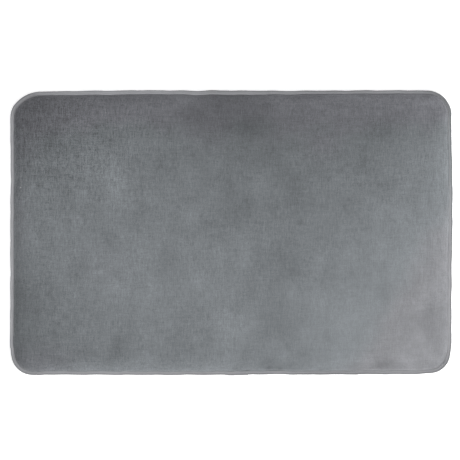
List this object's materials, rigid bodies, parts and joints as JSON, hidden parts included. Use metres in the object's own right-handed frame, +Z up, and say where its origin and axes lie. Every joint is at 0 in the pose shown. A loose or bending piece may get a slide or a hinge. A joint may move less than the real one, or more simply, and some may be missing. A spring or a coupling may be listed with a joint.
{
  "type": "bath mat",
  "caption": "Rectangular cushioned bath mat with round corners, a short velvet pile top, a folded tape edge and a non-slip underside.",
  "frame": {"origin": "middle of the underside, on the floor", "axes": "+X along the longer side, +Y along the shorter side, +Z up through the pile"},
  "size_m": [0.7, 0.45, 0.015],
  "materials": {
    "pile": "matte",
    "foam": "matte",
    "backing": "matte",
    "grip": "satin",
    "tape": "matte",
    "thread": "satin",
    "label": "satin"
  },
  "bodies": {
    "root": {"pile_cover": "pile", "foam_core": "foam", "backing_cloth": "backing", "grip_dots": "grip", "edge_binding": "tape", "needle_thread": "thread", "bobbin_thread": "thread", "care_label": "label"}
  },
  "joints": []
}
